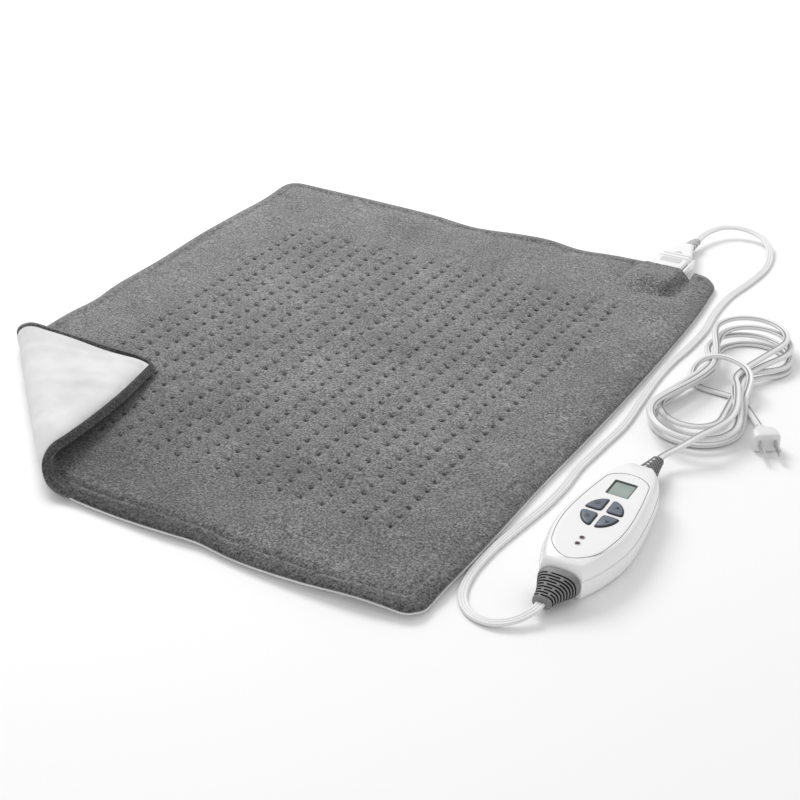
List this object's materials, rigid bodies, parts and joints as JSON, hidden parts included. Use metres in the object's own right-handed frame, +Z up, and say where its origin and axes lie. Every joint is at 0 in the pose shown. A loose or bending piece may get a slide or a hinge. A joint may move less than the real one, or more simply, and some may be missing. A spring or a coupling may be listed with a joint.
{
  "type": "electric heating pad",
  "caption": "Soft plush electric heating pad with one folded corner, a detachable cord, a hand controller with display and keypad, and a coiled mains lead with plug.",
  "frame": {"origin": "centre of the pad's underside, at the middle of its flat width and length", "axes": "+Z up out of the plush side; +Y towards the pad's back edge, which holds the socket; +X towards the cord set"},
  "size_m": [0.6685, 0.7329, 0.0319],
  "materials": {
    "plush": "short grey microplush",
    "backing": "smooth white woven polyester",
    "felt": "needle felt",
    "wire": "insulated wire",
    "brass": "plain",
    "steel": "nickel plated",
    "white_plastic": "glossy",
    "white_vinyl": "satin flexible vinyl",
    "grey_rubber": "satin",
    "slate_button": "satin",
    "display": "clear window over a grey-green display",
    "lamp": "tinted lens",
    "board": "solder mask",
    "black_part": "moulded",
    "film_case": "dipped"
  },
  "bodies": {
    "pad": {"top_cover": "plush", "bottom_cover": "backing", "lower_felt": "felt", "upper_felt": "felt", "heating_wire": "wire", "crimp_long": "brass", "crimp_short": "brass", "lead_long": "wire", "lead_short": "wire", "thermal_cutout": "black_part", "thermal_fuse": "black_part", "jumper_long": "wire", "jumper_short": "wire", "socket_shell": "white_plastic", "socket_pin_1": "brass", "socket_pin_2": "brass", "socket_pin_3": "brass", "socket_pocket": "plush"},
    "cord_set": {"connector_bottom_shell": "white_plastic", "connector_top_shell": "white_plastic", "contact_carrier": "white_vinyl", "connector_strain_relief": "white_vinyl", "controller_bottom_shell": "white_plastic", "controller_top_shell": "white_plastic", "face_plate": "white_plastic", "display_window": "display", "display_module": "black_part", "circuit_board": "board", "microcontroller": "black_part", "triac": "black_part", "capacitor": "film_case", "line_fuse": "white_vinyl", "power_switch": "black_part", "heat_up_switch": "black_part", "timer_switch": "black_part", "heat_down_switch": "black_part", "lamp_1": "lamp", "lamp_2": "lamp", "shell_screw_1": "steel", "shell_screw_2": "steel", "shell_screw_3": "steel", "shell_screw_4": "steel", "front_boot": "grey_rubber", "rear_boot": "grey_rubber", "front_conductors": "wire", "rear_conductors": "wire", "pad_lead_cord": "white_vinyl", "mains_cord_run": "white_vinyl", "mains_cord_hank": "white_vinyl", "plug_lead": "white_vinyl", "plug_body": "white_vinyl", "plug_strain_relief": "white_vinyl", "plug_blade_1": "steel", "plug_blade_2": "steel"},
    "power_button": {"power_button": "slate_button"},
    "heat_up_button": {"heat_up_button": "slate_button"},
    "timer_button": {"timer_button": "slate_button"},
    "heat_down_button": {"heat_down_button": "slate_button"},
    "latch_left": {"latch_left": "white_plastic"},
    "latch_right": {"latch_right": "white_plastic"}
  },
  "joints": [
    {"name": "connector_unplug", "type": "slide", "parent": "pad", "child": "cord_set", "axis": [0, 1, 0], "range_m": [0, 0.03]},
    {"name": "power_button_press", "type": "slide", "parent": "cord_set", "child": "power_button", "axis": [0, 0, -1], "range_m": [0, 0.0008], "stiffness_N_per_m": 1500},
    {"name": "heat_up_button_press", "type": "slide", "parent": "cord_set", "child": "heat_up_button", "axis": [0, 0, -1], "range_m": [0, 0.0008], "stiffness_N_per_m": 1500},
    {"name": "timer_button_press", "type": "slide", "parent": "cord_set", "child": "timer_button", "axis": [0, 0, -1], "range_m": [0, 0.0008], "stiffness_N_per_m": 1500},
    {"name": "heat_down_button_press", "type": "slide", "parent": "cord_set", "child": "heat_down_button", "axis": [0, 0, -1], "range_m": [0, 0.0008], "stiffness_N_per_m": 1500},
    {"name": "latch_right_squeeze", "type": "hinge", "parent": "cord_set", "child": "latch_right", "pos_m": [0.2219, 0.312, 0.0084], "axis": [0, 0, 1], "range_deg": [0, 6], "stiffness_Nm_per_rad": 0.3},
    {"name": "latch_left_squeeze", "type": "hinge", "parent": "cord_set", "child": "latch_left", "pos_m": [0.1881, 0.312, 0.0084], "axis": [0, 0, -1], "range_deg": [0, 6], "stiffness_Nm_per_rad": 0.3}
  ]
}
